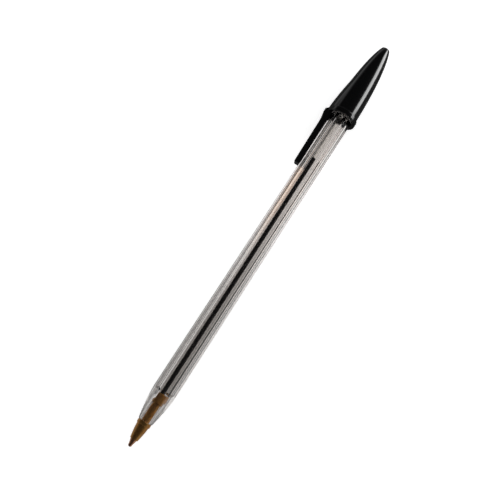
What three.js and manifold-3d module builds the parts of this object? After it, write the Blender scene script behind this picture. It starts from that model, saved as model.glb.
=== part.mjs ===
// A clear hexagonal stick ballpoint, lying along X with its cap posted on the rear end.
// Millimetres, +Z up. Stations run along the pen from the writing point towards +X.
// The origin is on the plane that the pen lies on, under the middle of its whole box.

import * as THREE from 'three';
import { mergeVertices } from 'three/addons/utils/BufferGeometryUtils.js';
import Module from 'manifold-3d';

const wasm = await Module();
wasm.setup();

// Ball and point
const ballRadius = 0.5;
const ballClearance = 0.04;
const pointLipRadius = 0.57;
const pointLipSetback = 0.2;
const pointWaistRadius = 0.72;
const pointWaistLength = 0.9;
const pointShankRadius = 1.1;
const pointProjection = 2.6;
const pointShankDepth = 3.6;
const inkChannelRadius = 0.3;

// Brass tip holder
const coneLength = 6.4;
const coneFrontRadius = 1.35;
const coneRearRadius = 2.1;
const coneFullness = 1.4;
const flangeRadius = 2.35;
const flangeLength = 1.3;
const flangeEdge = 0.25;
const neckRadius = 1.35;
const neckLength = 6.6;
const sleeveWall = 0.35;
const sleeveLength = 3.4;
const sleeveEdge = 0.2;
const holderChannelRadius = 0.6;
const fitClearance = 0.05;

// Barrel
const barrelLength = 135;
const acrossFlats = 7.2;
const edgeRadius = 0.6;
const noseLength = 11.5;
const noseFrontRadius = 2.5;
const noseFullness = 1.45;
const noseEdge = 0.2;
const sleeveClearance = 0.1;
const boreStepGap = 0.4;
const boreStepLength = 0.9;
const mainBoreRadius = 2.5;
const rearEdge = 0.25;
const ventRadius = 0.5;
const ventFromFront = 66;
const seatRelief = 0.04;
const seatLead = 0.6;

// Ink tube and ink
const tubeRadius = 1.5;
const tubeWall = 0.65;
const tubePlugGap = 0.3;
const tubeSocketDepth = 2.8;
const emptyLength = 19.8;
const inkClearance = 0.03;
const inkStart = 0.2;
const meniscusDepth = 0.5;

// End plug
const plugLength = 7.6;
const plugNoseStep = 0.4;
const plugNoseLength = 2.4;
const plugNoseEdge = 0.35;
const plugWall = 0.95;
const plugHollowDepth = 4.8;

// Cap
const capGrip = 8.9;
const capLength = 34.9;
const capClearance = 0.2;
const capWall = 0.94;
const capEndWall = 1.3;
const capApexAllowance = 2.2;
const capFullness = 0.54;
const capBoreLead = 0.6;
const capVentRadius = 0.7;
const rimLength = 1.8;
const rimHeight = 0.5;
const rimEdge = 0.3;
const rimFade = 0.9;
const spineHeight = 0.9;
const spineLength = 16.5;
const spineHalfAngle = 55;
const lugInnerWall = 0.3;
const lugCover = 0.4;
const lugCheek = 0.5;
const lugFlatLength = 0.8;
const lugSlopeLength = 1.2;

// Clip
const clipReach = 23.8;
const clipRootWidth = 3.2;
const clipEndWidth = 3.2;
const clipRootThickness = 1.3;
const clipEndThickness = 1.75;
const clipBarrelGap = 0.15;
const clipShoulderHeight = 0.6;
const clipShoulderLength = 4;
const rootGap = 0.25;

// Stations and radii that follow from the sizes above
const holderFront = pointProjection;
const barrelFront = holderFront + coneLength;
const barrelRear = barrelFront + barrelLength;
const capMouth = barrelRear - capGrip;
const capEnd = capMouth + capLength;
const neckEnd = barrelFront + neckLength;
const sleeveEnd = neckEnd + sleeveLength;
const plugFront = barrelRear - plugLength;
const tubeStart = sleeveEnd - tubeSocketDepth;
const tubeEnd = plugFront - tubePlugGap;
const inkFront = tubeStart + inkStart;
const inkRear = tubeEnd - emptyLength;
const sleeveRadius = tubeRadius + fitClearance + sleeveWall;
const frontBoreRadius = sleeveRadius + sleeveClearance;
const cornerRadius = acrossFlats / Math.sqrt(3) - edgeRadius * (2 / Math.sqrt(3) - 1);
const capBoreRadius = cornerRadius + capClearance;
const capBaseRadius = capBoreRadius + capWall;
const rimRadius = capBaseRadius + rimHeight;
const hingeHeight = capBoreRadius + lugInnerWall + rootGap + clipRootThickness / 2;
const lugTop = hingeHeight + clipRootThickness / 2 + rootGap + lugCover;
const lugWidth = clipRootWidth + 2 * rootGap + 2 * lugCheek;
const sideReach = Math.max(lugTop, rimRadius, capBaseRadius + spineHeight);

// Smoothness of round shapes
const fineSides = 48;
const plainSides = 32;
const smallSides = 20;

const plastic = (color, roughness) => new THREE.MeshStandardMaterial({ color, roughness, metalness: 0 });
const metal = (color, roughness) => new THREE.MeshStandardMaterial({ color, roughness, metalness: 1 });
const clearPlastic = plastic(0xd9d4cd, 0.08);
const milkyPlastic = plastic(0xe6e4e0, 0.3);
const blackPlastic = plastic(0x141414, 0.22);
const blackInk = plastic(0x0b0a0a, 0.35);
const brass = metal(0xb08a3e, 0.28);
const nickelSilver = metal(0xa8794a, 0.3);
const carbide = metal(0x8f9296, 0.15);

// A closed three.js geometry becomes a solid that can be joined and cut.
function solid(geometry) {
  const bare = geometry.index ? geometry.toNonIndexed() : geometry.clone();
  bare.deleteAttribute('normal');
  bare.deleteAttribute('uv');
  const welded = mergeVertices(bare, 1e-5);
  const corners = welded.index.array;
  const kept = [];
  for (let i = 0; i < corners.length; i += 3) {
    const [a, b, c] = [corners[i], corners[i + 1], corners[i + 2]];
    if (a !== b && b !== c && c !== a) kept.push(a, b, c);
  }
  const mesh = new wasm.Mesh({
    numProp: 3,
    vertProperties: new Float32Array(welded.attributes.position.array),
    triVerts: new Uint32Array(kept),
  });
  return new wasm.Manifold(mesh);
}

function geometryOf(body) {
  const mesh = body.getMesh();
  const geometry = new THREE.BufferGeometry();
  geometry.setAttribute('position', new THREE.BufferAttribute(mesh.vertProperties, 3));
  geometry.setIndex(new THREE.BufferAttribute(mesh.triVerts, 1));
  geometry.computeVertexNormals();
  return geometry;
}

// Points of an arc in a profile, angles in degrees.
function arc(x, y, radius, fromAngle, toAngle, steps) {
  const points = [];
  for (let i = 0; i <= steps; i += 1) {
    const angle = THREE.MathUtils.degToRad(fromAngle + ((toAngle - fromAngle) * i) / steps);
    points.push([x + radius * Math.cos(angle), y + radius * Math.sin(angle)]);
  }
  return points;
}

// Points of a curve given as radius over station.
function along(from, to, steps, radiusAt) {
  const points = [];
  for (let i = 0; i <= steps; i += 1) {
    const station = from + ((to - from) * i) / steps;
    points.push([radiusAt(station), station]);
  }
  return points;
}

// A profile of [radius, station] points turned about the pen's axis. The profile runs
// from front to rear outside, and back inside where the piece is hollow.
function turnedGeometry(profile, sides) {
  const points = profile.map(([radius, station]) => new THREE.Vector2(radius, station));
  const geometry = new THREE.LatheGeometry(points, sides);
  geometry.rotateZ(-Math.PI / 2);
  return geometry;
}

function turned(profile, sides) {
  return solid(turnedGeometry(profile, sides));
}

function rod(radius, from, to, sides) {
  return turned([[0, from], [radius, from], [radius, to], [0, to]], sides);
}

// A hexagon with rounded corners on its +Y and -Y sides and flats above and below.
function hexagon(flats) {
  const sharp = flats / Math.sqrt(3);
  const centreRadius = sharp - (2 * edgeRadius) / Math.sqrt(3);
  const points = [];
  for (let corner = 0; corner < 6; corner += 1) {
    const middle = 90 + corner * 60;
    const angle = THREE.MathUtils.degToRad(middle);
    const x = centreRadius * Math.cos(angle);
    const y = centreRadius * Math.sin(angle);
    points.push(...arc(x, y, edgeRadius, middle - 30, middle + 30, 3));
  }
  return new THREE.Shape(points.map(([x, y]) => new THREE.Vector2(x, y)));
}

function prism(flats, from, to) {
  const geometry = new THREE.ExtrudeGeometry(hexagon(flats), { depth: to - from, bevelEnabled: false });
  geometry.rotateY(Math.PI / 2);
  geometry.translate(from, 0, 0);
  return solid(geometry);
}

// An outline in the plane of the stations and Y, made into a plate of a given width in Z.
function plate(outline, width) {
  const shape = new THREE.Shape(outline.map(([station, height]) => new THREE.Vector2(station, height)));
  const geometry = new THREE.ExtrudeGeometry(shape, { depth: width, bevelEnabled: false });
  geometry.translate(0, 0, -width / 2);
  return solid(geometry);
}

// The ball turns in its seat, clear of the lip.
function writingBall() {
  const geometry = new THREE.SphereGeometry(ballRadius, smallSides, smallSides / 2);
  geometry.translate(ballRadius, 0, 0);
  return solid(geometry);
}

// The point is a turned cone with a spherical seat at the front and an ink channel behind.
function pointSocket() {
  const seatRadius = ballRadius + ballClearance;
  const waist = pointLipSetback + pointWaistLength;
  const rear = holderFront + pointShankDepth;
  const body = turned([
    [0, pointLipSetback],
    [pointLipRadius, pointLipSetback],
    [pointWaistRadius, waist],
    [pointShankRadius, holderFront - fitClearance],
    [pointShankRadius, rear],
    [0, rear],
  ], smallSides);
  const seat = new THREE.SphereGeometry(seatRadius, smallSides, smallSides / 2);
  seat.translate(ballRadius, 0, 0);
  const channel = rod(inkChannelRadius, ballRadius, rear + 1, smallSides);
  return body.subtract(solid(seat)).subtract(channel);
}

// The holder shows as a full cone with a bead that seats on the barrel. Its neck and sleeve
// are inside the barrel, and the ink tube is pressed into the sleeve.
function tipHolder() {
  const flangeFront = barrelFront - flangeLength;
  const flangeRear = barrelFront - fitClearance;
  const shankBore = pointShankRadius + fitClearance;
  const shankEnd = holderFront + pointShankDepth + fitClearance;
  const socket = tubeRadius + fitClearance;
  const coneSpan = flangeFront - holderFront;
  const cone = (station) => {
    const left = Math.max(0, (flangeFront - station) / coneSpan);
    return coneFrontRadius + (coneRearRadius - coneFrontRadius) * (1 - left ** coneFullness);
  };
  const outer = [
    [0, holderFront],
    ...along(holderFront, flangeFront, 8, cone),
    ...arc(flangeRadius - flangeEdge, flangeFront + flangeEdge, flangeEdge, -60, 0, 3),
    [flangeRadius, flangeRear],
    [neckRadius, flangeRear],
    [neckRadius, neckEnd],
    ...arc(sleeveRadius - sleeveEdge, neckEnd + sleeveEdge, sleeveEdge, -90, 0, 3),
    ...arc(sleeveRadius - sleeveEdge, sleeveEnd - sleeveEdge, sleeveEdge, 0, 60, 3),
    [0, sleeveEnd - sleeveEdge * (1 - Math.sin(Math.PI / 3))],
  ];
  const inner = [
    [0, holderFront - 1],
    [shankBore, holderFront - 1],
    [shankBore, shankEnd],
    [holderChannelRadius, shankEnd],
    [holderChannelRadius, tubeStart - fitClearance],
    [socket, tubeStart - fitClearance],
    [socket, sleeveEnd + 1],
    [0, sleeveEnd + 1],
  ];
  return turned(outer, plainSides).subtract(turned(inner, plainSides));
}

// The barrel is a hexagonal prism that a full ogive turns into a round nose.
function barrel() {
  const wide = cornerRadius + 1;
  const noseEnd = barrelFront + noseLength;
  const nose = (station) => {
    const left = Math.max(0, (noseEnd - station) / noseLength);
    return noseFrontRadius + (cornerRadius - noseFrontRadius) * (1 - left ** noseFullness);
  };
  const envelope = turned([
    [0, barrelFront],
    ...arc(noseFrontRadius - noseEdge, barrelFront + noseEdge, noseEdge, -90, -20, 3),
    ...along(barrelFront + noseEdge * 1.5, noseEnd, 10, nose),
    [wide, noseEnd + (wide - cornerRadius)],
    [wide, barrelRear - rearEdge - (wide - cornerRadius)],
    [cornerRadius - rearEdge, barrelRear],
    [0, barrelRear],
  ], fineSides);
  const seatStart = capMouth - seatLead;
  const outside = prism(acrossFlats, barrelFront - 1, seatStart)
    .add(prism(acrossFlats - 2 * seatRelief, seatStart - 1, barrelRear + 1))
    .intersect(envelope);
  const stepStart = sleeveEnd + boreStepGap;
  const bore = turned([
    [0, barrelFront - 1],
    [frontBoreRadius, barrelFront - 1],
    [frontBoreRadius, stepStart],
    [mainBoreRadius, stepStart + boreStepLength],
    [mainBoreRadius, barrelRear + 1],
    [0, barrelRear + 1],
  ], plainSides);
  const vent = new THREE.CylinderGeometry(ventRadius, ventRadius, acrossFlats, smallSides);
  vent.translate(0, -acrossFlats / 2, 0);
  vent.rotateX(THREE.MathUtils.degToRad(30));
  vent.translate(barrelFront + ventFromFront, 0, 0);
  return outside.subtract(bore).subtract(solid(vent));
}

function inkTube() {
  const bore = tubeRadius - tubeWall;
  return turned([
    [bore, tubeStart],
    [tubeRadius, tubeStart],
    [tubeRadius, tubeEnd],
    [bore, tubeEnd],
    [bore, tubeStart],
  ], plainSides);
}

// The ink's rear end dips in the middle, as wet ink does in a tube.
function inkColumn() {
  const radius = tubeRadius - tubeWall - inkClearance;
  return turned([
    [0, inkFront],
    [radius, inkFront],
    [radius, inkRear],
    [radius / 2, inkRear - meniscusDepth * 0.75],
    [0, inkRear - meniscusDepth],
  ], smallSides);
}

// The end plug has a stepped front and is hollow from behind.
function endPlug() {
  const step = plugFront + plugNoseLength;
  const bodyRadius = mainBoreRadius - fitClearance;
  const noseRadius = bodyRadius - plugNoseStep;
  const hollow = barrelRear - plugHollowDepth;
  return turned([
    [0, plugFront],
    ...arc(noseRadius - plugNoseEdge, plugFront + plugNoseEdge, plugNoseEdge, -90, 0, 3),
    [noseRadius, step],
    [bodyRadius, step + plugNoseStep],
    [bodyRadius, barrelRear],
    [bodyRadius - plugWall, barrelRear],
    [bodyRadius - plugWall, hollow],
    [0, hollow],
  ], plainSides);
}

// A thick rim at the cap's mouth fades into its side.
function rimRise(station) {
  const past = Math.max(0, station - capMouth - rimLength);
  return rimHeight * Math.exp(-((past / rimFade) ** 2));
}

// The cap's outside: an ogive with the rim on it.
function capRadius(station) {
  const start = capMouth + rimLength;
  const share = Math.max(0, station - start) / (capEnd + capApexAllowance - start);
  return capBaseRadius * (1 - share ** 2) ** capFullness + rimRise(station);
}

// A spine on the clip's side runs out of the rim and fades along the cap. This is what stands
// above the cap's outside, so the rim's own height comes off it.
function spineRise(station, angle) {
  const share = (station - capMouth) / spineLength;
  const turn = angle / THREE.MathUtils.degToRad(spineHalfAngle);
  if (share >= 1 || turn >= 1) return 0;
  const fade = Math.cos((share * Math.PI) / 2) ** 1.2;
  const spine = spineHeight * fade * Math.cos((turn * Math.PI) / 2) ** 1.5;
  return Math.max(0, spine - rimRise(station));
}

function capOutside() {
  const profile = [
    [0, capMouth],
    ...arc(rimRadius - rimEdge, capMouth + rimEdge, rimEdge, -90, 0, 3),
    ...along(capMouth + rimLength * 0.6, capMouth + rimLength + 2.4 * rimFade, 6, capRadius),
    ...along(capMouth + rimLength + 3.2 * rimFade, capEnd - 0.2, 14, capRadius),
    [capRadius(capEnd) - 0.15, capEnd],
    [0, capEnd],
  ];
  const geometry = turnedGeometry(profile, fineSides);
  const position = geometry.attributes.position;
  for (let i = 0; i < position.count; i += 1) {
    const y = position.getY(i);
    const z = position.getZ(i);
    const radius = Math.hypot(y, z);
    if (radius > capBaseRadius / 4) {
      const grown = 1 + spineRise(position.getX(i), Math.acos(y / radius)) / radius;
      position.setY(i, y * grown);
      position.setZ(i, z * grown);
    }
  }
  return solid(geometry);
}

// The cap is one moulding: shell, rim, spine and the lug that carries the clip's root.
function cap() {
  const boreEnd = barrelRear + capBoreLead;
  const cavityEnd = capEnd - capEndWall;
  const inside = turned([
    [0, capMouth - 1],
    [capBoreRadius, capMouth - 1],
    [capBoreRadius, boreEnd],
    ...along(boreEnd + 0.3, cavityEnd - 0.4, 9, (station) => capRadius(station) - capWall),
    [capRadius(cavityEnd) - capWall - 0.4, cavityEnd],
    [0, cavityEnd],
  ], plainSides);
  const lugFoot = capBoreRadius + capWall / 2;
  const slopeEnd = capMouth + lugFlatLength + lugSlopeLength;
  const lug = plate([
    [capMouth, lugFoot],
    [slopeEnd, lugFoot],
    [slopeEnd, capBaseRadius + spineHeight / 2],
    [capMouth + lugFlatLength, lugTop],
    [capMouth, lugTop],
  ], lugWidth);
  const vent = rod(capVentRadius, cavityEnd - 1, capEnd + 1, smallSides);
  const seat = new THREE.CylinderGeometry(
    clipRootThickness / 2 + rootGap,
    clipRootThickness / 2 + rootGap,
    clipRootWidth + 2 * rootGap,
    smallSides,
  );
  seat.rotateX(Math.PI / 2);
  seat.translate(capMouth, hingeHeight, 0);
  return capOutside().add(lug).subtract(inside).subtract(vent).subtract(solid(seat));
}

// The clip runs forward from the lug, over a corner of the barrel, and ends round.
function clip() {
  const end = capMouth - clipReach;
  const endInside = cornerRadius + clipBarrelGap;
  const endRound = clipEndThickness / 2;
  const rootRound = clipRootThickness / 2;
  const shoulder = capMouth - rootGap;
  const rootOutside = hingeHeight + rootRound;
  const outline = [
    ...arc(end + endRound, endInside + endRound, endRound, 90, 270, 8),
    ...arc(capMouth, hingeHeight, rootRound, -90, 90, 10),
    [shoulder, rootOutside],
    [shoulder, rootOutside + clipShoulderHeight],
    [shoulder - clipShoulderLength * 0.3, rootOutside + clipShoulderHeight * 0.45],
    [shoulder - clipShoulderLength * 0.65, rootOutside + clipShoulderHeight * 0.1],
    [shoulder - clipShoulderLength, rootOutside - clipShoulderHeight * 0.15],
  ];
  const side = plate(outline, clipRootWidth + 1);
  const tipRound = clipEndWidth / 2;
  const plan = new THREE.Shape();
  plan.moveTo(capMouth + 1, -clipRootWidth / 2);
  plan.lineTo(capMouth + 1, clipRootWidth / 2);
  plan.lineTo(end + tipRound, tipRound);
  plan.absarc(end + tipRound, 0, tipRound, Math.PI / 2, (3 * Math.PI) / 2, false);
  const planDepth = sideReach + 1;
  const planGeometry = new THREE.ExtrudeGeometry(plan, {
    depth: planDepth,
    bevelEnabled: false,
    curveSegments: 12,
  });
  planGeometry.rotateX(-Math.PI / 2);
  return side.intersect(solid(planGeometry));
}

// The pen is built about its own axis, then set down with its box centred on the origin.
const pen = new THREE.Group();
pen.position.set(-capEnd / 2, (rimRadius - sideReach) / 2, rimRadius);

function addPiece(name, body, material) {
  const mesh = new THREE.Mesh(geometryOf(body), material);
  mesh.name = name;
  pen.add(mesh);
}

addPiece('barrel', barrel(), clearPlastic);
addPiece('tip_holder', tipHolder(), brass);
addPiece('point_socket', pointSocket(), nickelSilver);
addPiece('writing_ball', writingBall(), carbide);
addPiece('ink_tube', inkTube(), milkyPlastic);
addPiece('ink_column', inkColumn(), blackInk);
addPiece('end_plug', endPlug(), blackPlastic);
addPiece('cap', cap(), blackPlastic);
addPiece('clip', clip(), blackPlastic);

const model = new THREE.Group();
model.add(pen);

export default model;
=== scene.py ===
import math

import bpy
import numpy as np
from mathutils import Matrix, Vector


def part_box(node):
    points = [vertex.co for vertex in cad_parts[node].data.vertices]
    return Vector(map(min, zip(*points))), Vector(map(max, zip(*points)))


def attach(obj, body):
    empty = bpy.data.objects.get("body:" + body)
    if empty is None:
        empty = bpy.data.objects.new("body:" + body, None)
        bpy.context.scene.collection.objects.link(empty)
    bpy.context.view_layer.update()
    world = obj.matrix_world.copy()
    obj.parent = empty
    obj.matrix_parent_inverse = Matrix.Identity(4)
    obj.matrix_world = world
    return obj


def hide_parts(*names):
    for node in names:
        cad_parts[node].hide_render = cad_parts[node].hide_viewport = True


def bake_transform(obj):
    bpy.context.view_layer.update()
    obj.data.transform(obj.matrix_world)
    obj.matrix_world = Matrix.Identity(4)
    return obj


# A clear hexagonal stick ballpoint with its black clip cap posted on the rear end.
# Sizes are in millimetres. Stations run along the pen from the writing point, and Y and Z are
# measured from the pen's axis, so that a point becomes metres in the frame only when its mesh is made.

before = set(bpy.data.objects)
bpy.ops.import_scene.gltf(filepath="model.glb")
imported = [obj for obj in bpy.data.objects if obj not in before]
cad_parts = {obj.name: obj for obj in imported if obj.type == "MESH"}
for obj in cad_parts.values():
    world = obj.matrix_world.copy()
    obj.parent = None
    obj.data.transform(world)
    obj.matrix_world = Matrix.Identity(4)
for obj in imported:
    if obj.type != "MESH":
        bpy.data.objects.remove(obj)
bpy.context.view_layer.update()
print("frame loaded")

mm = 0.001
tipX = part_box("writing_ball")[0].x
barrelLow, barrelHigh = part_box("barrel")
axisY = (barrelLow.y + barrelHigh.y) / 2
axisZ = (barrelLow.z + barrelHigh.z) / 2


# First and last station of a node of the frame.
def span(node):
    low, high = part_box(node)
    return (low.x - tipX) / mm, (high.x - tipX) / mm


barrelFront, barrelRear = span("barrel")
capMouth, capEnd = span("cap")

cameraView = {
    "target": (-8.29, 2.23, 0.0),  # the middle of the picture, in millimetres in the frame
    "azimuth": -58.2,  # degrees round from the -Y side
    "elevation": 72.44,
    "distance": 234.05,
    "lens": 47.73,
    "sensor": 36.0,
    "nearest": 10,  # what lies nearer or beyond the next isn't rendered
    "farthest": 20000,
}


# The camera stands back from its target by the distance, along the azimuth and the elevation.
def makeCamera(values):
    azimuth = math.radians(values["azimuth"])
    elevation = math.radians(values["elevation"])
    back = Vector((
        math.sin(azimuth) * math.cos(elevation),
        -math.cos(azimuth) * math.cos(elevation),
        math.sin(elevation),
    ))
    data = bpy.data.cameras.new("camera")
    data.lens = values["lens"]
    data.sensor_width = values["sensor"]
    data.clip_start = values["nearest"] * mm
    data.clip_end = values["farthest"] * mm
    camera = bpy.data.objects.new("camera", data)
    camera.location = (Vector(values["target"]) + back * values["distance"]) * mm
    camera.rotation_mode = "QUATERNION"
    camera.rotation_quaternion = (-back).to_track_quat("-Z", "Y")
    bpy.context.scene.collection.objects.link(camera)
    bpy.context.scene.camera = camera


makeCamera(cameraView)
print("camera placed")


# Mesh helpers

creaseAngle = math.radians(32)  # an edge that turns by more than this stays sharp


# A path through corners (station, radius, cut). Each corner becomes the curve
# (1-t)^2 start + 2t(1-t) corner + t^2 end, whose start and end lie the cut away along its two sides.
# A point held close to each end of a long side keeps that side flat when it is shaded smooth.
def roundedPath(corners, closed=True, steps=7, hold=0.12):
    corners = np.asarray(corners, float)
    point = corners[:, None, :2]
    cut = corners[:, None, 2:]
    toLast = np.roll(point, 1, 0) - point
    toNext = np.roll(point, -1, 0) - point
    lastLength = np.linalg.norm(toLast, axis=2, keepdims=True) + 1e-9
    nextLength = np.linalg.norm(toNext, axis=2, keepdims=True) + 1e-9
    start = point + toLast / lastLength * cut
    end = point + toNext / nextLength * cut
    t = np.linspace(0, 1, steps)[None, :, None]
    curve = (1 - t) ** 2 * start + 2 * t * (1 - t) * point + t ** 2 * end
    ahead = end + toNext / nextLength * hold
    behind = np.roll(start, -1, 0) - toNext / nextLength * hold
    straight = nextLength[:, 0, 0] - cut[:, 0, 0] - np.roll(cut[:, 0, 0], -1)
    held = straight > 3 * hold
    if not closed:
        held[-1] = False
    kept = np.ones((len(corners), steps + 2), bool)
    kept[:, 1:steps] = cut[:, 0] > 0  # a corner without a cut stays one point
    kept[:, steps:] = held[:, None]
    return np.concatenate([curve, ahead, behind], 1)[kept]


# Corners without a cut, along a curve that gives the radius at a station.
def curvedSide(stations, radiusAt):
    return np.stack([stations, radiusAt(stations), np.zeros_like(stations)], 1)


# Points on circles about the pen's axis: Y is the radius times the cosine, Z the radius times the sine.
def around(station, radius, angle):
    station, radius, angle = np.broadcast_arrays(station, radius, angle)
    return np.stack([station, radius * np.cos(angle), radius * np.sin(angle)], -1)


# The smaller and the larger of two surfaces, with the crease between them rounded over about the width:
# half of their sum less, or plus, the root of the squared difference and the squared width.
def softMin(a, b, width):
    return 0.5 * (a + b - np.sqrt((a - b) ** 2 + width ** 2))


def softMax(a, b, width):
    return 0.5 * (a + b + np.sqrt((a - b) ** 2 + width ** 2))


def shadeSmoothly(mesh):
    mesh.shade_smooth()
    mesh.set_sharp_from_angle(angle=creaseAngle)


def newPiece(name, mesh):
    shadeSmoothly(mesh)
    piece = bpy.data.objects.new(name, mesh)
    bpy.context.scene.collection.objects.link(piece)
    return piece


# A mesh from a grid of points (rows, columns, 3). Each row closes round the pen. A row whose points all
# fall together is a pole and becomes one point, and without a pole at both ends the last row joins the first.
def gridPiece(name, points):
    rows, columns = points.shape[:2]
    number = np.arange(rows * columns).reshape(rows, columns)
    poles = np.ptp(points.reshape(rows, -1, 3), axis=1).max(1) < 1e-7
    number[poles] = number[poles, :1]
    looped = not (poles[0] and poles[-1])
    here = number if looped else number[:-1]
    ahead = np.roll(number, -1, 0) if looped else number[1:]
    cells = np.stack([here, np.roll(here, -1, 1), np.roll(ahead, -1, 1), ahead], -1).reshape(-1, 4)
    used, cells = np.unique(cells, return_inverse=True)
    cells = cells.reshape(-1, 4)
    front = cells[:, 0] == cells[:, 1]  # cells that a pole makes triangles
    rear = cells[:, 2] == cells[:, 3]
    faces = cells[~(front | rear)].tolist()
    faces += cells[front][:, 1:].tolist()
    faces += cells[rear][:, :3].tolist()
    placed = points.reshape(-1, 3)[used] * mm + (tipX, axisY, axisZ)
    mesh = bpy.data.meshes.new(name)
    mesh.from_pydata(placed.tolist(), [], faces)
    return newPiece(name, mesh)


# A piece turned about the pen's axis from one path of corners (station, radius, cut). A path that
# starts on the axis also ends on it, and any other closes on itself.
def turnedPiece(name, corners, columns=96):
    corners = np.asarray(corners, float)
    path = roundedPath(corners, closed=corners[0, 1] > 0)
    angle = np.linspace(0, 2 * np.pi, columns, endpoint=False)
    return gridPiece(name, around(path[:, :1], path[:, 1:], angle))


# Joins or cuts a piece with a second one, which is then gone.
def combine(piece, other, operation):
    modifier = piece.modifiers.new("combine", "BOOLEAN")
    modifier.object = other
    modifier.operation = operation
    modifier.solver = "EXACT"
    depsgraph = bpy.context.evaluated_depsgraph_get()
    mesh = bpy.data.meshes.new_from_object(piece.evaluated_get(depsgraph))
    piece.modifiers.clear()
    piece.data = mesh
    bpy.data.objects.remove(other)
    shadeSmoothly(mesh)


# Material helpers

# Adds a node, sets its plain settings, and sets or links its sockets by name or number.
def addNode(tree, kind, sockets=None, **settings):
    node = tree.nodes.new(kind)
    for setting, value in settings.items():
        setattr(node, setting, value)
    for socket, value in (sockets or {}).items():
        if isinstance(value, bpy.types.NodeSocket):
            tree.links.new(value, node.inputs[socket])
        else:
            node.inputs[socket].default_value = value
    return node


# A material with an empty node tree.
def newMaterial(name):
    material = bpy.data.materials.new(name)
    material.use_nodes = True
    material.node_tree.nodes.clear()
    return material, material.node_tree


# Noise on Object coordinates, with its scale in repeats per millimetre along each axis.
def grain(tree, perMillimetre, detail=3.0, roughness=0.5):
    coordinates = addNode(tree, "ShaderNodeTexCoord").outputs["Object"]
    scale = tuple(value / mm for value in perMillimetre)
    placed = addNode(tree, "ShaderNodeMapping", {"Vector": coordinates, "Scale": scale})
    sockets = {"Vector": placed.outputs[0], "Scale": 1.0, "Detail": detail, "Roughness": roughness}
    return addNode(tree, "ShaderNodeTexNoise", sockets).outputs["Fac"]


# A noise, which mostly lies between 0.3 and 0.7, carried to a range of its own.
def spread(tree, value, low, high):
    sockets = {"Value": value, "From Min": 0.3, "From Max": 0.7, "To Min": low, "To Max": high}
    return addNode(tree, "ShaderNodeMapRange", sockets).outputs["Result"]


# One of the Math node's operations on two values, each of them a number or a socket.
def reckon(tree, operation, first, second=0.0, **settings):
    node = addNode(tree, "ShaderNodeMath", {0: first, 1: second}, operation=operation, **settings)
    return node.outputs[0]


def product(tree, first, second):
    return reckon(tree, "MULTIPLY", first, second)


def total(tree, first, second):
    return reckon(tree, "ADD", first, second)


def larger(tree, first, second):
    return reckon(tree, "MAXIMUM", first, second)


# What is left of one.
def rest(tree, value):
    return reckon(tree, "SUBTRACT", 1.0, value)


# In the Mix node the two colours are sockets 6 and 7, and the mixed colour is output 2.
def twoColours(tree, share, first, second):
    mix = addNode(tree, "ShaderNodeMix", {0: share, 6: (*first, 1), 7: (*second, 1)}, data_type="RGBA")
    return mix.outputs[2]


# A bump of that many millimetres, on top of an earlier one if its normal is given.
def bump(tree, height, millimetres, normal=None):
    sockets = {"Height": height, "Distance": millimetres * mm, "Strength": 1.0}
    if normal is not None:
        sockets["Normal"] = normal
    return addNode(tree, "ShaderNodeBump", sockets).outputs["Normal"]


def twoSurfaces(tree, share, first, second):
    return addNode(tree, "ShaderNodeMixShader", {0: share, 1: first, 2: second}).outputs[0]


def finishMaterial(tree, surface):
    addNode(tree, "ShaderNodeOutputMaterial", {"Surface": surface})


# A see-through surface bends light for the eye, and lets its share of the lamps' light straight through
# to what is inside.
def finishClear(tree, surface, lampShare):
    straight = addNode(tree, "ShaderNodeBsdfTransparent", {"Color": (*lampShare, 1)}).outputs[0]
    isShadow = addNode(tree, "ShaderNodeLightPath").outputs["Is Shadow Ray"]
    finishMaterial(tree, twoSurfaces(tree, isShadow, surface, straight))


# Clear barrel

clearLook = {
    "tint": (0.87, 0.843, 0.83),
    "warmTint": (0.85, 0.815, 0.79),
    "ior": 1.59,
    "roughness": (0.01, 0.03),
    "flowHeight": 0.0001,  # bumps are in millimetres, and their noise has repeats along X, Y and Z
    "flowPerMillimetre": (0.012, 0.4, 0.4),
    "scratchHeight": 0.00003,
    "scratchPerMillimetre": (0.1, 4.0, 4.0),
    "lampShare": (0.9, 0.89, 0.87),  # of the lamps' light, through one face
}


# Clear polystyrene, faintly warm, with the slow waves of its mould and fine scratches along the pen.
def clearPlastic(values):
    material, tree = newMaterial("clearPlastic")
    flow = grain(tree, values["flowPerMillimetre"], detail=2.0)
    scratch = grain(tree, values["scratchPerMillimetre"], detail=4.0)
    normal = bump(tree, flow, values["flowHeight"])
    normal = bump(tree, scratch, values["scratchHeight"], normal)
    glass = addNode(tree, "ShaderNodeBsdfPrincipled", {
        "Base Color": twoColours(tree, spread(tree, flow, 0, 1), values["tint"], values["warmTint"]),
        "Roughness": spread(tree, scratch, *values["roughness"]),
        "IOR": values["ior"],
        "Transmission Weight": 1.0,
        "Normal": normal,
    })
    finishClear(tree, glass.outputs[0], values["lampShare"])
    return material


barrelSizes = {
    "edgeRadius": 0.6,  # the rounded long edges
    "noseLength": 11.5,
    "noseFrontRadius": 2.5,
    "noseFullness": 1.45,  # 1 is a straight cone, and more is rounder
    "noseEdge": 0.2,
    "frontBore": 2.0,
    "stepStart": 19.4,  # from here to the step's end the bore widens
    "stepEnd": 20.3,
    "stepEdge": 0.2,
    "mainBore": 2.5,
    "rearEdge": 0.25,
    "boreEdge": 0.12,
    "crease": 0.035,  # rounding between the nose and the flats
    "noseRows": 76,
    "edgeColumns": 5,
    "flatColumns": 9,
    "flatCrowding": 1.4,  # above 1, columns on a flat stand closer towards its edges
    "ventStation": 75.0,
    "ventRadius": 0.5,
    "ventAngle": 210.0,  # degrees from the clip's side, the middle of a flat
    "ventHeights": (1.5, 5.0),  # from the axis, inside the bore and outside the flat
    "ventColumns": 48,
}


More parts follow.
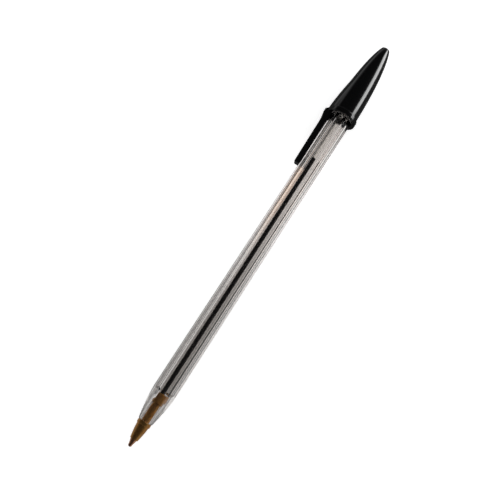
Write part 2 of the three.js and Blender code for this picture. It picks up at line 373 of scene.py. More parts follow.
# Radius at an angle of a hexagon with rounded corners: on a flat it is half the width across flats over
# the cosine of the angle from the flat's middle, and at a corner it is the far side of the corner's circle.
def hexagonRadius(angle, halfFlats, edgeRadius):
    fromCorner = np.abs((angle + np.pi / 6) % (np.pi / 3) - np.pi / 6)
    centre = (halfFlats - edgeRadius) / math.cos(math.pi / 6)
    flat = halfFlats / np.cos(np.pi / 6 - fromCorner)
    across = np.clip(edgeRadius ** 2 - (centre * np.sin(fromCorner)) ** 2, 0, None)
    corner = centre * np.cos(fromCorner) + np.sqrt(across)
    return np.where(fromCorner < cornerHalfAngle(halfFlats, edgeRadius), corner, flat)


# The angle from a corner's middle to where its circle meets the flat.
def cornerHalfAngle(halfFlats, edgeRadius):
    centre = (halfFlats - edgeRadius) / math.cos(math.pi / 6)
    return math.atan2(edgeRadius * math.sin(math.pi / 6), centre + edgeRadius * math.cos(math.pi / 6))


# Angles round the barrel, close together on the rounded edges and wider apart on the flats.
def hexagonAngles(halfFlats, values):
    edge = cornerHalfAngle(halfFlats, values["edgeRadius"])
    onEdge = edge * np.linspace(0, 1, values["edgeColumns"])
    share = np.linspace(0, 1, values["flatColumns"])[1:] ** values["flatCrowding"]
    onFlat = edge + (np.pi / 6 - edge) * share
    side = np.concatenate([onEdge, onFlat])
    corner = np.concatenate([-side[:0:-1], side[:-1]])
    return (np.arange(6)[:, None] * np.pi / 3 + corner).ravel()


# The barrel's radius is the lesser of the hexagon and of a round envelope that closes in at the nose.
# The nose's envelope is the front radius plus the rest times one less the share left, to a power.
def makeBarrel(values):
    halfFlats = (barrelHigh.z - barrelLow.z) / mm / 2
    edge = values["edgeRadius"]
    sharpest = hexagonRadius(np.zeros(1), halfFlats, edge)[0]
    noseEnd = barrelFront + values["noseLength"]

    def nose(station):
        left = np.clip((noseEnd - station) / values["noseLength"], 0, 1)
        growth = sharpest - values["noseFrontRadius"]
        return values["noseFrontRadius"] + growth * (1 - left ** values["noseFullness"])

    noseStations = np.linspace(barrelFront + 2 * values["noseEdge"], noseEnd, values["noseRows"])
    corners = np.vstack([
        [(barrelFront, values["frontBore"], values["boreEdge"])],
        [(barrelFront, values["noseFrontRadius"], values["noseEdge"])],
        curvedSide(noseStations, nose),
        [(barrelRear, sharpest, values["rearEdge"])],
        [(barrelRear, values["mainBore"], values["boreEdge"])],
        [(values["stepEnd"], values["mainBore"], values["stepEdge"])],
        [(values["stepStart"], values["frontBore"], values["stepEdge"])],
    ])
    path = roundedPath(corners)
    station, radius = path[:, :1], path[:, 1:]
    angle = hexagonAngles(halfFlats, values)
    atRear = station > barrelRear - 2 * values["rearEdge"]
    inset = np.where(atRear, np.clip(sharpest - radius, 0, values["rearEdge"]), 0)
    hexagon = hexagonRadius(angle, halfFlats, edge) - inset
    piece = gridPiece("barrel_shell", around(station, softMin(radius, hexagon, values["crease"]), angle))
    combine(piece, makeVentCutter(values), "DIFFERENCE")
    piece.data.materials.clear()
    piece.data.materials.append(clearPlastic(clearLook))
    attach(piece, "barrel")
    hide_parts("barrel")


# A short round bar from inside the bore to beyond the middle of one flat: circles about the line that
# leads outwards at the vent's station, at two heights, closed by a pole at each end.
def makeVentCutter(values):
    turn = math.radians(values["ventAngle"])
    outward = np.array((0, math.cos(turn), math.sin(turn)))
    sideways = np.array((0, -math.sin(turn), math.cos(turn)))
    alongPen = np.array((1.0, 0, 0))
    angle = np.linspace(0, 2 * np.pi, values["ventColumns"], endpoint=False)[None, :, None]
    height = np.repeat(values["ventHeights"], 2)[:, None, None]
    radius = np.array((0, 1, 1, 0))[:, None, None] * values["ventRadius"]
    ring = radius * (np.cos(angle) * sideways - np.sin(angle) * alongPen)
    centre = values["ventStation"] * alongPen + height * outward
    return gridPiece("vent_cutter", centre + ring)


makeBarrel(barrelSizes)
print("barrel made")


# Brass tip holder, point and ball

brassLook = {
    "bright": (0.52, 0.29, 0.09),
    "toned": (0.3, 0.13, 0.035),
    "roughness": (0.34, 0.52),
    "ringHeight": 0.0015,
    "ringPerMillimetre": (7.0, 0.12, 0.12),
    "stainPerMillimetre": (0.35, 0.6, 0.6),
}
pointLook = {
    "bright": (0.6, 0.33, 0.19),
    "toned": (0.38, 0.16, 0.09),
    "roughness": (0.22, 0.4),
    "ringHeight": 0.001,
    "ringPerMillimetre": (10.0, 0.2, 0.2),
    "stainPerMillimetre": (0.8, 0.8, 0.8),
}
ballLook = {
    "bright": (0.42, 0.42, 0.44),
    "toned": (0.3, 0.3, 0.32),
    "roughness": (0.08, 0.18),
    "ringHeight": 0.0003,
    "ringPerMillimetre": (6.0, 6.0, 6.0),
    "stainPerMillimetre": (3.0, 3.0, 3.0),
}


# Turned metal: fine rings from a noise stretched round the pen, and slow stains of toned colour.
def turnedMetal(name, values):
    material, tree = newMaterial(name)
    rings = grain(tree, values["ringPerMillimetre"], detail=4.0)
    stain = grain(tree, values["stainPerMillimetre"], detail=5.0, roughness=0.6)
    metal = addNode(tree, "ShaderNodeBsdfPrincipled", {
        "Base Color": twoColours(tree, spread(tree, stain, 0, 1), values["bright"], values["toned"]),
        "Metallic": 1.0,
        "Roughness": spread(tree, stain, *values["roughness"]),
        "Normal": bump(tree, rings, values["ringHeight"]),
    })
    finishMaterial(tree, metal.outputs[0])
    return material


holderSizes = {
    "coneFront": 1.35,
    "coneRear": 2.1,
    "coneFullness": 1.4,
    "coneFrontEdge": 0.08,
    "coneRearEdge": 0.06,
    "coneRows": (0.3, 0.1, 30),  # start behind the front, end before the flange, and how many
    "flangeStation": 7.7,
    "flangeRadius": 2.35,
    "flangeFrontEdge": 0.22,
    "flangeRearEdge": 0.15,
    "flangeGap": 0.05,  # the flange stops short of the barrel by this
    "neckRadius": 1.35,
    "neckEnd": 15.6,
    "neckEdges": (0.1, 0.12),
    "sleeveRadius": 1.9,
    "sleeveEnd": 19.0,
    "sleeveEdges": (0.25, 0.2),
    "sleeveBore": 1.55,
    "sleeveBoreEdge": 0.1,
    "tubeSeat": 16.15,
    "channel": 0.6,  # radius of the way for the ink
    "channelEdge": 0.1,
    "shankBore": 1.15,
    "shankEnd": 6.25,
    "shankEdge": 0.04,
    "innerEdge": 0.05,
}


# The holder is a full cone, a flange in front of the barrel, a neck and a sleeve for the ink tube. The
# cone's radius grows by one less the share of its length that is left, to a power.
def makeTipHolder(values):
    front = span("tip_holder")[0]
    flange = values["flangeStation"]
    flangeRear = barrelFront - values["flangeGap"]
    inner = values["innerEdge"]
    rowStart, rowEnd, rowCount = values["coneRows"]

    def cone(station):
        left = np.clip((flange - station) / (flange - front), 0, 1)
        growth = values["coneRear"] - values["coneFront"]
        return values["coneFront"] + growth * (1 - left ** values["coneFullness"])

    corners = np.vstack([
        [(front, values["shankBore"], values["shankEdge"])],
        [(front, values["coneFront"], values["coneFrontEdge"])],
        curvedSide(np.linspace(front + rowStart, flange - rowEnd, rowCount), cone),
        [(flange, values["coneRear"], values["coneRearEdge"])],
        [(flange, values["flangeRadius"], values["flangeFrontEdge"])],
        [(flangeRear, values["flangeRadius"], values["flangeRearEdge"])],
        [(flangeRear, values["neckRadius"], values["neckEdges"][0])],
        [(values["neckEnd"], values["neckRadius"], values["neckEdges"][1])],
        [(values["neckEnd"], values["sleeveRadius"], values["sleeveEdges"][0])],
        [(values["sleeveEnd"], values["sleeveRadius"], values["sleeveEdges"][1])],
        [(values["sleeveEnd"], values["sleeveBore"], values["sleeveBoreEdge"])],
        [(values["tubeSeat"], values["sleeveBore"], inner)],
        [(values["tubeSeat"], values["channel"], values["channelEdge"])],
        [(values["shankEnd"], values["channel"], inner)],
        [(values["shankEnd"], values["shankBore"], inner)],
    ])
    piece = turnedPiece("tip_holder_turned", corners, columns=120)
    piece.data.materials.append(turnedMetal("turnedBrass", brassLook))
    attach(piece, "barrel")
    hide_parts("tip_holder")


pointSizes = {
    "lipStation": 0.2,
    "lipRadius": 0.57,
    "waistStation": 1.1,
    "waistRadius": 0.72,
    "shankStation": 2.55,
    "shankRadius": 1.1,
    "channel": 0.3,
    "channelEdge": 0.05,
    "lipEdge": 0.04,
    "edge": 0.1,
    "seatRadius": 0.54,  # the ball's radius and its clearance
    "seatRows": 20,
    "ballRadius": 0.5,
    "ballRows": 40,
    "ballColumns": 64,
}


# The point is a cone whose lip closes over the ball. The seat is an arc about the ball's centre,
# from the ink channel behind it to the lip in front of its middle.
def makePoint(values):
    rear = span("point_socket")[1]
    edge = values["edge"]
    centre = values["ballRadius"]
    seat = values["seatRadius"]
    lipAngle = math.acos((values["lipStation"] - centre) / seat)
    turn = np.linspace(math.asin(values["channel"] / seat), lipAngle, values["seatRows"])
    arc = np.stack([centre + seat * np.cos(turn), seat * np.sin(turn), np.zeros_like(turn)], 1)
    corners = np.vstack([
        [(values["lipStation"], values["lipRadius"], values["lipEdge"])],
        [(values["waistStation"], values["waistRadius"], edge)],
        [(values["shankStation"], values["shankRadius"], edge)],
        [(rear, values["shankRadius"], edge)],
        [(rear, values["channel"], values["channelEdge"])],
        arc,
    ])
    piece = turnedPiece("point_turned", corners, columns=80)
    piece.data.materials.append(turnedMetal("turnedPoint", pointLook))
    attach(piece, "barrel")
    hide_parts("point_socket")


# A sphere that touches the first station: at each turn from its front the station is the radius less the
# radius times the cosine, and the distance from the axis is the radius times the sine.
def makeBall(values):
    centre = values["ballRadius"]
    turn = np.linspace(0, np.pi, values["ballRows"])[:, None]
    angle = np.linspace(0, 2 * np.pi, values["ballColumns"], endpoint=False)
    radius = values["ballRadius"] * np.sin(turn)
    radius[[0, -1]] = 0
    ball = gridPiece("ball_ground", around(centre - values["ballRadius"] * np.cos(turn), radius, angle))
    ball.data.materials.append(turnedMetal("groundCarbide", ballLook))
    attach(ball, "ball")
    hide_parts("writing_ball")


makeTipHolder(holderSizes)
makePoint(pointSizes)
makeBall(pointSizes)
print("tip holder, point and ball made")


# Ink tube and ink

tubeLook = {
    "tint": (0.93, 0.93, 0.92),
    "cloudTint": (0.86, 0.86, 0.84),
    "ior": 1.49,
    "roughness": (0.05, 0.1),
    "drawHeight": 0.0001,
    "drawPerMillimetre": (0.02, 2.0, 2.0),
    "cloudShare": 0.02,
    "lampShare": (0.7, 0.7, 0.69),
}
inkLook = {
    "deep": (0.0015, 0.0015, 0.002),
    "thin": (0.006, 0.005, 0.006),
    "specularLevel": 0.1,
    "roughness": (0.25, 0.45),
    "filmPerMillimetre": (0.1, 1.2, 1.2),
}


# Drawn polypropylene: it bends light a little less than the barrel, blurs it, and is faintly milky.
def milkyPlastic(values):
    material, tree = newMaterial("milkyPlastic")
    lines = grain(tree, values["drawPerMillimetre"], detail=3.0)
    cloud = addNode(tree, "ShaderNodeBsdfTranslucent", {"Color": (*values["cloudTint"], 1)})
    glass = addNode(tree, "ShaderNodeBsdfPrincipled", {
        "Base Color": twoColours(tree, spread(tree, lines, 0, 1), values["tint"], values["cloudTint"]),
        "Roughness": spread(tree, lines, *values["roughness"]),
        "IOR": values["ior"],
        "Transmission Weight": 1.0,
        "Normal": bump(tree, lines, values["drawHeight"]),
    })
    milky = twoSurfaces(tree, values["cloudShare"], glass.outputs[0], cloud.outputs[0])
    finishClear(tree, milky, values["lampShare"])
    return material


# Black ink, all but dull, with a thinner film here and there along the tube.
def thickInk(values):
    material, tree = newMaterial("thickInk")
    film = grain(tree, values["filmPerMillimetre"], detail=4.0)
    ink = addNode(tree, "ShaderNodeBsdfPrincipled", {
        "Base Color": twoColours(tree, spread(tree, film, 0, 1), values["deep"], values["thin"]),
        "Roughness": spread(tree, film, *values["roughness"]),
        "Specular IOR Level": values["specularLevel"],
    })
    finishMaterial(tree, ink.outputs[0])
    return material


tubeSizes = {
    "outside": 1.5,
    "bore": 0.85,
    "edge": 0.06,
    "wetting": 0.004,  # the ink reaches into the wall by this much, because it wets it without an air gap
    "leanFrom": 19.0,  # the end of the holder's sleeve
    "leanPerMillimetre": 0.0052,
    "meniscusDepth": 0.5,
    "meniscusRows": 16,
    "inkEdge": 0.1,
}


# The tube is held at its front only, so behind its holder it leans to the clip's side in the barrel:
# a vertex moves in Y by its distance behind the holder's end times the lean.
def lean(piece, values):
    points = np.empty(len(piece.data.vertices) * 3)
    piece.data.vertices.foreach_get("co", points)
    points = points.reshape(-1, 3)
    behind = np.clip(points[:, 0] - tipX - values["leanFrom"] * mm, 0, None)
    points[:, 1] += behind * values["leanPerMillimetre"]
    piece.data.vertices.foreach_set("co", points.ravel())
    piece.data.update()


# A plain drawn tube, with a ring of points inside and outside where its lean starts.
def makeInkTube(values):
    front, rear = span("ink_tube")
    piece = turnedPiece("ink_tube_drawn", [
        (front, values["bore"], values["edge"]),
        (front, values["outside"], values["edge"]),
        (values["leanFrom"], values["outside"], 0),
        (rear, values["outside"], values["edge"]),
        (rear, values["bore"], values["edge"]),
        (values["leanFrom"], values["bore"], 0),
    ])
    lean(piece, values)
    piece.data.materials.append(milkyPlastic(tubeLook))
    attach(piece, "barrel")
    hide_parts("ink_tube")


# The ink's rear end is a meniscus: its middle lies farther forward, by the depth times one less the cube
# of the share of the radius.
def makeInk(values):
    front, rear = span("ink_column")
    radius = values["bore"] + values["wetting"]
    share = np.linspace(1, 0, values["meniscusRows"])
    sag = rear - values["meniscusDepth"] * (1 - share ** 3)
    piece = turnedPiece("ink_filled", np.vstack([
        [(front, 0, 0)],
        [(front, radius, values["inkEdge"])],
        [(values["leanFrom"], radius, 0)],
        np.stack([sag, radius * share, np.zeros_like(share)], 1),
    ]), columns=80)
    lean(piece, values)
    piece.data.materials.append(thickInk(inkLook))
    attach(piece, "barrel")
    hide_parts("ink_column")


makeInkTube(tubeSizes)
makeInk(tubeSizes)
print("ink tube and ink made")


# Black plastic

blackLook = {
    "deep": (0.001, 0.001, 0.0011),
    "worn": (0.0025, 0.0025, 0.0027),
    "ior": 1.49,
    "roughness": (0.1, 0.17),
    "mouldHeight": 0.0015,
    "mouldPerMillimetre": (0.25, 0.5, 0.5),
    "grainHeight": 0.0006,
    "grainPerMillimetre": (5.0, 9.0, 9.0),
}


# Glossy black polypropylene with the soft waves of its mould and a fine handling grain.
def blackPlastic(name, values):
    material, tree = newMaterial(name)
    waves = grain(tree, values["mouldPerMillimetre"], detail=2.0)
    fine = grain(tree, values["grainPerMillimetre"], detail=5.0, roughness=0.65)
    normal = bump(tree, waves, values["mouldHeight"])
    normal = bump(tree, fine, values["grainHeight"], normal)
    plastic = addNode(tree, "ShaderNodeBsdfPrincipled", {
        "Base Color": twoColours(tree, spread(tree, fine, 0, 1), values["deep"], values["worn"]),
        "Roughness": spread(tree, fine, *values["roughness"]),
        "IOR": values["ior"],
        "Normal": normal,
    })
    finishMaterial(tree, plastic.outputs[0])
    return material


plugLook = dict(blackLook, roughness=(0.3, 0.42))  # duller, so that it mirrors less through the barrel
plugSizes = {
    "bodyRadius": 2.45,
    "noseRadius": 2.05,
    "noseLength": 2.4,
    "noseEdge": 0.35,
    "stepLength": 0.4,
    "stepEdge": 0.12,
    "rearEdge": 0.15,
    "wall": 0.95,
    "hollowDepth": 4.8,
    "hollowEdge": 0.3,
}


# The plug is a narrower nose, a step out to its body, and a hollow from the rear.
def makeEndPlug(values):
    front, rear = span("end_plug")
    step = front + values["noseLength"]
    inside = values["bodyRadius"] - values["wall"]
    floor = rear - values["hollowDepth"]
    piece = turnedPiece("end_plug_moulded", [
        (front, 0, 0),
        (front, values["noseRadius"], values["noseEdge"]),
        (step, values["noseRadius"], values["stepEdge"]),
        (step + values["stepLength"], values["bodyRadius"], values["stepEdge"]),
        (rear, values["bodyRadius"], values["rearEdge"]),
        (rear, inside, values["rearEdge"]),
        (floor, inside, values["hollowEdge"]),
        (floor, 0, 0),
    ])
    piece.data.materials.append(blackPlastic("plugPlastic", plugLook))
    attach(piece, "barrel")
    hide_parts("end_plug")


makeEndPlug(plugSizes)
print("end plug made")


# Cap with its clip

capSizes = {
    "bore": 4.264,
    "boreEdge": 0.12,
    "boreEnd": 144.6,
    "cavityEdge": 0.1,
    "cavityTaper": 0.2,  # the cavity's end is narrower than its side by this
    "wall": 0.94,
    "endWall": 1.3,
    "baseRadius": 5.204,
    "apexAllowance": 2.2,  # the ogive would close this far beyond the cap's cut end
    "fullness": 0.54,  # less is blunter
    "endEdge": 0.2,
    "rimLength": 1.8,
    "rimHeight": 0.5,
    "rimEdge": 0.45,
    "rimFade": 0.4,
    "ventRadius": 0.7,
    "ventEdges": (0.08, 0.05),
    "spineHeight": 0.9,
    "spineLength": 16.5,
    "spineHalfAngle": 55.0,
    "spineFullness": (1.2, 1.5),  # powers of the cosines along the cap and to the sides
    "spineRounding": 0.4,
    "lugTop": 6.764,  # height over the pen's axis
    "lugHalfWidth": 2.35,
    "lugFlat": 0.3,
    "lugSlope": 1.0,
    "lugEdge": 0.35,
    "lugFillet": 0.25,
    "rimRows": (8, 9),  # on the rim, and on its slope down to its foot
    "closeRows": (0.1, 2.5, 20),  # start and end behind the rim's foot, and how many, for the lug
    "wideRows": (2.7, 0.45, 64),  # start behind the rim's foot, end before the cap's, and how many
    "cavityRows": (0.4, 0.5, 50),  # start behind the bore, end before the cavity's, and how many
    "columns": 168,
    "crowding": 0.6,  # columns stand closer on the clip's side by this share
}
clipSizes = {
    "rootDepth": 0.5,  # how far the root runs into the lug
    "endWidth": 3.2,
    "rootWidth": 3.8,
    "insideAtEnd": 4.1,  # the inner face's height over the pen's axis
    "insideAtRoot": 4.3,
    "endThickness": 1.76,
    "rootThickness": 1.96,
    "flareHeight": 0.5,
    "flareWidth": 0.7,
    "flareLength": 4.6,
    "flareFull": 0.9,  # the flare is full this far before the cap's mouth
    "dome": 0.1,
    "lips": 1.0,  # how far the long edges hang towards the barrel
    "edge": 0.45,  # as a share of half the width and half the thickness
    "edgeHold": 0.08,
    "rows": 90,
    "tipRows": 18,
}


# The rim at the cap's mouth rounds down to its side: its height times one less the square of the
# share past it.
def rimRise(station, values):
    past = np.clip((station - capMouth - values["rimLength"]) / values["rimFade"], 0, 1)
    return values["rimHeight"] * (1 - past ** 2)


# The cap's plain outside: an ogive, its base radius times a power of one less the squared share
# of its length, plus the rim.
def capRadius(station, values):
    start = capMouth + values["rimLength"]
    share = np.clip(station - start, 0, None) / (capEnd + values["apexAllowance"] - start)
    return values["baseRadius"] * (1 - share ** 2) ** values["fullness"] + rimRise(station, values)


# What stands proud of it on the clip's side: the part of the spine above the rim, or the lug's box,
# whichever is higher. The spine fades along the cap and to both sides as powers of cosines, and its
# step from the rim is rounded: the square of its height plus a width, over four widths.
def capExtra(station, angle, values):
    plain = capRadius(station, values)
    rim = rimRise(station, values)
    along = np.clip((station - capMouth) / values["spineLength"], 0, 1)
    side = np.clip(np.abs(angle) / math.radians(values["spineHalfAngle"]), 0, 1)
    powerAlong, powerAside = values["spineFullness"]
    full = values["spineHeight"] * np.cos(along * np.pi / 2) ** powerAlong
    full = full * np.cos(side * np.pi / 2) ** powerAside
    width = values["spineRounding"] * rim + 1e-9
    rounded = np.clip(full - rim + width, 0, None) ** 2 / (4 * width)
    spine = np.where(full - rim > width, full - rim, rounded)
    slope = np.clip((station - capMouth - values["lugFlat"]) / values["lugSlope"], 0, 1)
    top = values["lugTop"] + (values["baseRadius"] + values["spineHeight"] / 2 - values["lugTop"]) * slope
    flank = values["lugHalfWidth"] / np.clip(np.abs(np.sin(angle)), 1e-3, None)
    lug = softMin(top / np.clip(np.cos(angle), 0.2, None), flank, values["lugEdge"])
    onLug = (slope < 1) & (np.abs(angle) < np.pi / 3)
    outside = np.where(onLug, softMax(plain + spine, lug, values["lugFillet"]), plain + spine)
    return outside - plain


# One closed surface: rim, ogive, end, vent, cavity and bore. The spine and the lug are carried in full
# outside, not at all inside, and in proportion to the place in the wall on the mouth's face.
def makeCapShell(values):
    rimEnd = capMouth + values["rimLength"]
    rimFoot = rimEnd + values["rimFade"]
    rimCount, slopeCount = values["rimRows"]
    closeStart, closeEnd, closeCount = values["closeRows"]
    wideStart, wideEnd, wideCount = values["wideRows"]
    outside = np.concatenate([
        np.linspace(capMouth + 2 * values["rimEdge"], rimEnd, rimCount)[:-1],
        np.linspace(rimEnd, rimFoot, slopeCount),
        np.linspace(rimFoot + closeStart, rimFoot + closeEnd, closeCount),
        np.linspace(rimFoot + wideStart, capEnd - wideEnd, wideCount),
    ])
    cavityEnd = capEnd - values["endWall"]
    cavityEndRadius = capRadius(cavityEnd, values) - values["wall"] - values["cavityTaper"]
    insideStart, insideEnd, insideCount = values["cavityRows"]
    inside = np.linspace(cavityEnd - insideEnd, values["boreEnd"] + insideStart, insideCount)
    corners = np.vstack([
        [(capMouth, values["bore"], values["boreEdge"])],
        [(capMouth, values["baseRadius"] + values["rimHeight"], values["rimEdge"])],
        curvedSide(outside, lambda station: capRadius(station, values)),
        [(capEnd, capRadius(capEnd, values), values["endEdge"])],
        [(capEnd, values["ventRadius"], values["ventEdges"][0])],
        [(cavityEnd, values["ventRadius"], values["ventEdges"][1])],
        [(cavityEnd, cavityEndRadius, values["cavityEdge"])],
        curvedSide(inside, lambda station: capRadius(station, values) - values["wall"]),
        [(values["boreEnd"], values["bore"], values["cavityEdge"])],
    ])
    path = roundedPath(corners)
    station, radius = path[:, :1], path[:, 1:]
    turn = np.linspace(-np.pi, np.pi, values["columns"], endpoint=False)
    angle = turn - values["crowding"] * np.sin(turn)
    plain = capRadius(station, values)
    inBore = station < values["boreEnd"] + insideStart / 2
    inner = np.where(inBore, values["bore"], plain - values["wall"])
    share = np.clip((radius - inner) / (plain - values["rimEdge"] - inner), 0, 1)
    outer = radius + share * capExtra(station, angle, values)
    return gridPiece("cap_with_clip", around(station, outer, angle))


# The clip is a rounded rectangle carried from its free end to its root. Its thickness and width grow
# evenly, with a flare that rises as a square towards the root and sinks again inside the lug. Its free
# end is round from above and from the side. It is domed outside as the square of the place across it,
# and has lips towards the barrel as the fourth power of it.
def makeClip(values):
    free = span("clip")[0]
    root = capMouth + values["rootDepth"]
    halfEnd = values["endWidth"] / 2
    turn = np.linspace(np.pi / 2, 0, values["tipRows"])
    body = np.linspace(free + halfEnd, root, values["rows"])[1:]
    station = np.concatenate([free + halfEnd * (1 - np.sin(turn)), body, [root]])
    grown = np.clip((station - free) / (capMouth - free), 0, 1)
    flareStart = capMouth - values["flareFull"] - values["flareLength"]
    flare = np.clip((station - flareStart) / values["flareLength"], 0, 1) ** 2
    sinking = np.clip((station - capMouth) / values["rootDepth"], 0, 1)
    inside = values["insideAtEnd"] + (values["insideAtRoot"] - values["insideAtEnd"]) * grown
    thickness = values["endThickness"] + (values["rootThickness"] - values["endThickness"]) * grown
    thickness = thickness + values["flareHeight"] * (flare - sinking)
    width = values["endWidth"] + (values["rootWidth"] - values["endWidth"]) * grown
    width = width + values["flareWidth"] * flare
    closing = np.concatenate([np.cos(turn), np.ones(len(body)), [0]])
    closing[0] = 0
    fromEnd = np.clip((station - free) / (values["endThickness"] / 2), 0, 1)
    thinning = np.concatenate([np.sqrt(1 - (1 - fromEnd[:-1]) ** 2), [0]])
    corners = [(1, -1), (1, 1), (-1, 1), (-1, -1)]
    section = roundedPath([(*corner, values["edge"]) for corner in corners], hold=values["edgeHold"])
    up, side = section[:, 0], section[:, 1]
    middle = (inside + thickness / 2)[:, None]
    dome = values["dome"] * (1 - side ** 2) * (1 + up) / 2
    lips = values["lips"] * side ** 4 * (1 - up) / 2
    height = middle + (thickness / 2 * thinning)[:, None] * up + closing[:, None] * (dome - lips)
    across = (width / 2 * closing)[:, None] * side
    points = np.stack(np.broadcast_arrays(station[:, None], height, across), -1)
    return gridPiece("clip_blade", points)


# The cap and its clip are one moulding.
def makeCap(capValues, clipValues):
    piece = makeCapShell(capValues)
    combine(piece, makeClip(clipValues), "UNION")
    piece.data.materials.clear()
    piece.data.materials.append(blackPlastic("capPlastic", blackLook))
    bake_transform(piece)
    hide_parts("cap", "clip")


makeCap(capSizes, clipSizes)
print("cap with clip made")


# Floor and light

lightLook = {
    "background": 1.0,  # what the camera sees
    "plain": 0.64,  # what lights rough surfaces
    "horizon": 0.68,
    "overhead": 0.024,
    "lightTo": 0.06,  # sine of the elevation up to which the room is as light as at its horizon
    "darkFrom": 0.42,  # and from which it is as dark as overhead
    "boxRadiance": 8.5,
    "boxSize": (0.43, 0.22),  # in metres, as are the next two
    "boxPlace": (0.43, -0.33, 0.112),
    "boxAim": (0.07, 0.0, 0.112),
    "boxFade": 0.17,  # share of the width over which a side edge fades
    "passes": 16,  # see-through faces that a shadow ray may pass
}

# Places on the paper are in millimetres from the pen's middle. "Along" the pen, and "across" or "behind"
# it, a level goes from one (place, level) to the other. A band has its start, middle and end across the
# pen, and then its level.
floorLook = {
    "reach": 3000,
    "paper": (0.8, 0.8, 0.8),
    "glow": 0.6,
    "nearAlong": ((100, 1.0), (160, 0.0)),
    "nearAcross": ((25, 1.0), (60, 0.0)),
    "farGlow": 0.17,
    "throughAlong": ((-45, 0.0), (45, 0.6)),
    "gathered": ((-3.5, -1.2, 2.5), 0.45),
    "gatheredAlong": ((20, 1.0), (30, 0.4)),
    "shadeBefore": ((-10.0, -4.5, -1.8), 0.45),
    "shadeBehind": ((2.0, 4.5, 11.0), 0.45),
    "clipShade": ((3.0, 6.0, 10.0), 0.5),
    "clipAlong": ((22, 0.0), (27, 1.0)),
    # seen through the barrel, paper behind the cap's side takes this tint: a painted warm light
    "paintedWarmTint": (0.8, 0.57, 0.42),
    "warmAlong": ((-10, 0.0), (20, 1.0)),
    "warmBehind": ((2.5, 0.0), (10, 1.0)),
    "mirroredAlong": ((8, 0.9), (28, 0.16)),
}


# A level carried smoothly from one place to another. Each end is (millimetres, level).
def between(tree, place, ends):
    (fromPlace, fromLevel), (toPlace, toLevel) = ends
    return addNode(tree, "ShaderNodeMapRange", {
        "Value": place,
        "From Min": fromPlace * mm,
        "From Max": toPlace * mm,
        "To Min": fromLevel,
        "To Max": toLevel,
    }, interpolation_type="SMOOTHSTEP").outputs["Result"]


# A band that rises smoothly from its start to its middle and falls again to its end.
def band(tree, place, values):
    (start, middle, end), level = values
    rise = between(tree, place, ((start, 0.0), (middle, 1.0)))
    fall = between(tree, place, ((middle, 1.0), (end, 0.0)))
    return product(tree, product(tree, rise, fall), level)


# Rough surfaces are lit by a plain even room. Mirrors and glass show it lighter at the horizon and dark
# overhead, and the camera sees a plain white.
def makeWorld(values):
    world = bpy.data.worlds.new("studio")
    bpy.context.scene.world = world
    world.use_nodes = True
    tree = world.node_tree
    tree.nodes.clear()
    direction = addNode(tree, "ShaderNodeTexCoord").outputs["Generated"]
    up = addNode(tree, "ShaderNodeSeparateXYZ", {0: direction}).outputs["Z"]
    level = addNode(tree, "ShaderNodeMapRange", {
        "Value": up,
        "From Min": values["lightTo"],
        "From Max": values["darkFrom"],
        "To Min": values["horizon"],
        "To Max": values["overhead"],
    }, interpolation_type="SMOOTHSTEP").outputs["Result"]
    plain, room, white = (
        addNode(tree, "ShaderNodeBackground", {"Color": (1, 1, 1, 1), "Strength": strength})
        for strength in (values["plain"], level, values["background"])
    )
    path = addNode(tree, "ShaderNodeLightPath").outputs
    mirroredOrThrough = larger(tree, path["Is Glossy Ray"], path["Is Transmission Ray"])
    lit = twoSurfaces(tree, mirroredOrThrough, plain.outputs[0], room.outputs[0])
    seen = twoSurfaces(tree, path["Is Camera Ray"], lit, white.outputs[0])
    addNode(tree, "ShaderNodeOutputWorld", {"Surface": seen})


# A low soft box beside the cap. Its power is pi times its radiance and its area, and it fades towards
# its left and right edges. Surfaces mirror it, but it is left out of what is seen through the barrel.
def makeSoftBox(values):
    data = bpy.data.lights.new("soft_box", "AREA")
    data.shape = "RECTANGLE"
    data.size, data.size_y = values["boxSize"]
    data.energy = math.pi * values["boxRadiance"] * data.size * data.size_y
    data.use_nodes = True
    tree = data.node_tree
    tree.nodes.clear()
    place = addNode(tree, "ShaderNodeNewGeometry").outputs["Parametric"]
    across = addNode(tree, "ShaderNodeSeparateXYZ", {0: place}).outputs["X"]
    fromEdge = reckon(tree, "MINIMUM", across, rest(tree, across))
    level = addNode(tree, "ShaderNodeMapRange", {
        "Value": fromEdge, "From Max": values["boxFade"],
    }, interpolation_type="SMOOTHSTEP").outputs["Result"]
    glow = addNode(tree, "ShaderNodeEmission", {"Strength": level})
    addNode(tree, "ShaderNodeOutputLight", {"Surface": glow.outputs[0]})
    lamp = bpy.data.objects.new("soft_box", data)
    lamp.location = values["boxPlace"]
    back = Vector(values["boxPlace"]) - Vector(values["boxAim"])
    lamp.rotation_mode = "QUATERNION"
    lamp.rotation_quaternion = back.to_track_quat("Z", "Y")
    lamp.visible_camera = False
    lamp.visible_transmission = False
    bpy.context.scene.collection.objects.link(lamp)


# What the paper sends out by itself. For the camera it is a plain glow that fills the paper up to white.
# Seen through the clear barrel, paper near the pen grows lighter along it and has the line of light that
# the barrel gathers under it. Far paper, mirrored or seen through, is as light as the room's horizon.
def paperLight(tree, values, along, aside, path):
    line = product(tree, band(tree, aside, values["gathered"]), between(tree, along, values["gatheredAlong"]))
    through = total(tree, line, between(tree, along, values["throughAlong"]))
    nearAlong = between(tree, reckon(tree, "ABSOLUTE", along), values["nearAlong"])
    nearAcross = between(tree, reckon(tree, "ABSOLUTE", aside), values["nearAcross"])
    near = product(tree, nearAlong, nearAcross)
    mirroredOrThrough = larger(tree, path["Is Glossy Ray"], path["Is Transmission Ray"])
    nearLight = product(tree, product(tree, through, near), path["Is Transmission Ray"])
    cameraLight = product(tree, path["Is Camera Ray"], values["glow"])
    farLight = product(tree, product(tree, mirroredOrThrough, rest(tree, near)), values["farGlow"])
    return total(tree, total(tree, nearLight, cameraLight), farLight)


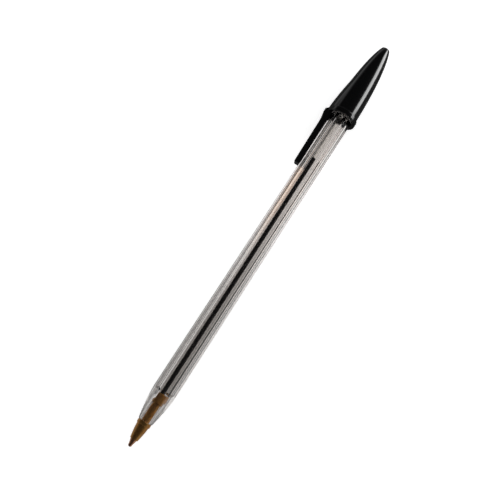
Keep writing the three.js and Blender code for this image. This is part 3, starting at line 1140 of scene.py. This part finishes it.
# How much of the paper is dark. Seen through the barrel it is shaded on both sides of the pen's middle
# and under the clip, and mirrored paper is dimmed beside the cap. A ray that the barrel bends counts as
# glossy too, so a true mirror ray is glossy less transmission.
def paperShade(tree, values, along, aside, path):
    clipAlong = between(tree, along, values["clipAlong"])
    underClip = product(tree, band(tree, aside, values["clipShade"]), clipAlong)
    behind = total(tree, band(tree, aside, values["shadeBehind"]), underClip)
    shade = total(tree, band(tree, aside, values["shadeBefore"]), behind)
    isThrough = path["Is Transmission Ray"]
    isMirrored = reckon(tree, "SUBTRACT", path["Is Glossy Ray"], isThrough, use_clamp=True)
    dimmed = rest(tree, between(tree, along, values["mirroredAlong"]))
    return total(tree, product(tree, shade, isThrough), product(tree, isMirrored, dimmed))


# White paper with its own light and shade. Seen through the barrel it is warmer behind the cap's side, a
# painted warm light.
def whitePaper(values):
    material, tree = newMaterial("whitePaper")
    coordinates = addNode(tree, "ShaderNodeTexCoord").outputs["Object"]
    place = addNode(tree, "ShaderNodeSeparateXYZ", {0: coordinates}).outputs
    along, aside = place["X"], place["Y"]
    path = addNode(tree, "ShaderNodeLightPath").outputs
    # painted warm light: a warm tint of the paper's colour and glow, seen only through the barrel
    warmAlong = between(tree, along, values["warmAlong"])
    warmPlace = product(tree, warmAlong, between(tree, aside, values["warmBehind"]))
    warmth = product(tree, warmPlace, path["Is Transmission Ray"])
    paper = addNode(tree, "ShaderNodeBsdfDiffuse", {
        "Color": twoColours(tree, warmth, values["paper"], values["paintedWarmTint"]),
    })
    glow = addNode(tree, "ShaderNodeEmission", {
        "Color": twoColours(tree, warmth, (1, 1, 1), values["paintedWarmTint"]),
        "Strength": paperLight(tree, values, along, aside, path),
    })
    lit = addNode(tree, "ShaderNodeAddShader", {0: paper.outputs[0], 1: glow.outputs[0]})
    dark = addNode(tree, "ShaderNodeEmission", {"Strength": 0.0})
    shade = paperShade(tree, values, along, aside, path)
    finishMaterial(tree, twoSurfaces(tree, shade, lit.outputs[0], dark.outputs[0]))
    return material


# The pen lies on its cap's rim and on the front of its lower flat, so the floor falls a little
# towards the cap.
def makeFloor(values):
    rimX = tipX + capMouth * mm
    frontX = tipX + (barrelFront + barrelSizes["noseLength"]) * mm
    slope = barrelLow.z / (rimX - frontX)
    corners = np.array(((-1, -1), (1, -1), (1, 1), (-1, 1))) * values["reach"] * mm
    heights = (rimX - corners[:, 0]) * slope
    mesh = bpy.data.meshes.new("floor")
    mesh.from_pydata(np.column_stack([corners, heights]).tolist(), [], [(0, 1, 2, 3)])
    floor = bpy.data.objects.new("floor", mesh)
    bpy.context.scene.collection.objects.link(floor)
    mesh.materials.append(whitePaper(values))


makeWorld(lightLook)
makeSoftBox(lightLook)
makeFloor(floorLook)
bpy.context.scene.view_settings.view_transform = "Standard"
bpy.context.scene.cycles.transparent_max_bounces = lightLook["passes"]
print("floor and light made")
